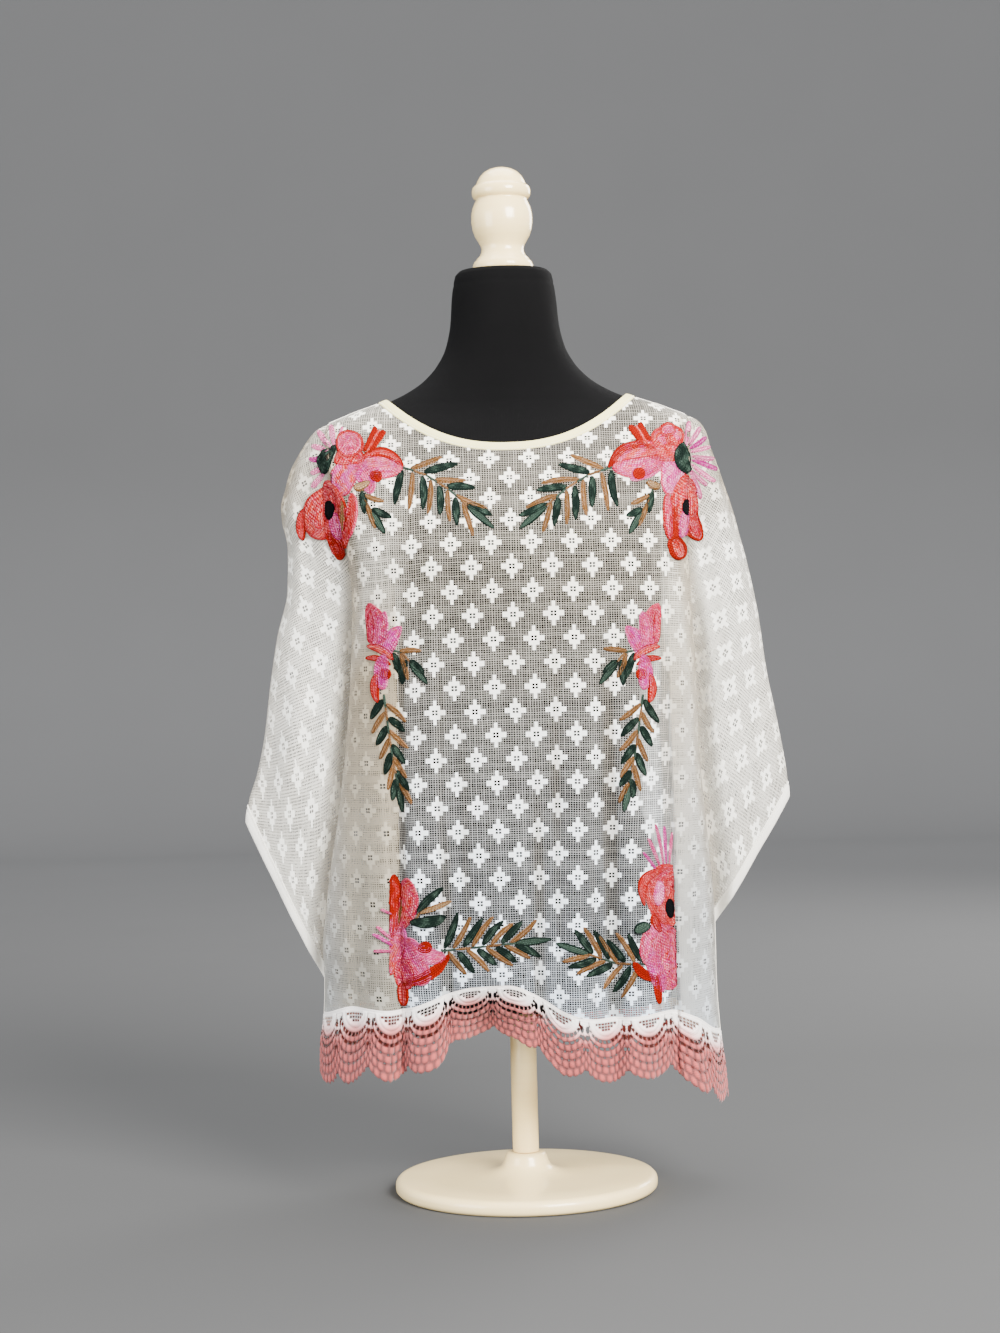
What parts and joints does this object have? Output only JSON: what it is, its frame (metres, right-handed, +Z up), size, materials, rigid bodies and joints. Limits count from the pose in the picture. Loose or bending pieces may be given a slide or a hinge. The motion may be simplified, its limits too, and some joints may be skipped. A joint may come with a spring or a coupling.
{
  "type": "batwing poncho top on a dress form",
  "caption": "Sheer woven batwing poncho top with a wide bound neck, slanting cuffs and a scalloped lace hem, worn by a limbless dress form on a round foot.",
  "frame": {"origin": "middle of the foot's underside, on the floor", "axes": "+Z up, the garment's front faces -Y, +X is the right side of the picture"},
  "size_m": [0.5817, 0.28, 1.0925],
  "materials": {
    "weave_front": "sheer open weave",
    "weave_back": "sheer open weave",
    "weave_sleeve_left": "sheer open weave",
    "weave_sleeve_right": "sheer open weave",
    "cuff_band_left": "turned hem",
    "cuff_band_right": "turned hem",
    "lace_front": "coral ombre lace",
    "lace_back": "coral ombre lace",
    "neck_binding": "cream bias binding",
    "form_jersey": "matte black jersey",
    "finial_paint": "glossy cream paint",
    "pole_paint": "satin cream paint",
    "base_paint": "satin cream paint"
  },
  "bodies": {
    "root": {"front": "weave_front", "back": "weave_back", "sleeve_left": "weave_sleeve_left", "sleeve_right": "weave_sleeve_right", "cuff_left": "cuff_band_left", "cuff_right": "cuff_band_right", "lace_front": "lace_front", "lace_back": "lace_back", "neck_binding": "neck_binding", "form": "form_jersey", "finial": "finial_paint", "pole": "pole_paint", "base": "base_paint"}
  },
  "joints": []
}
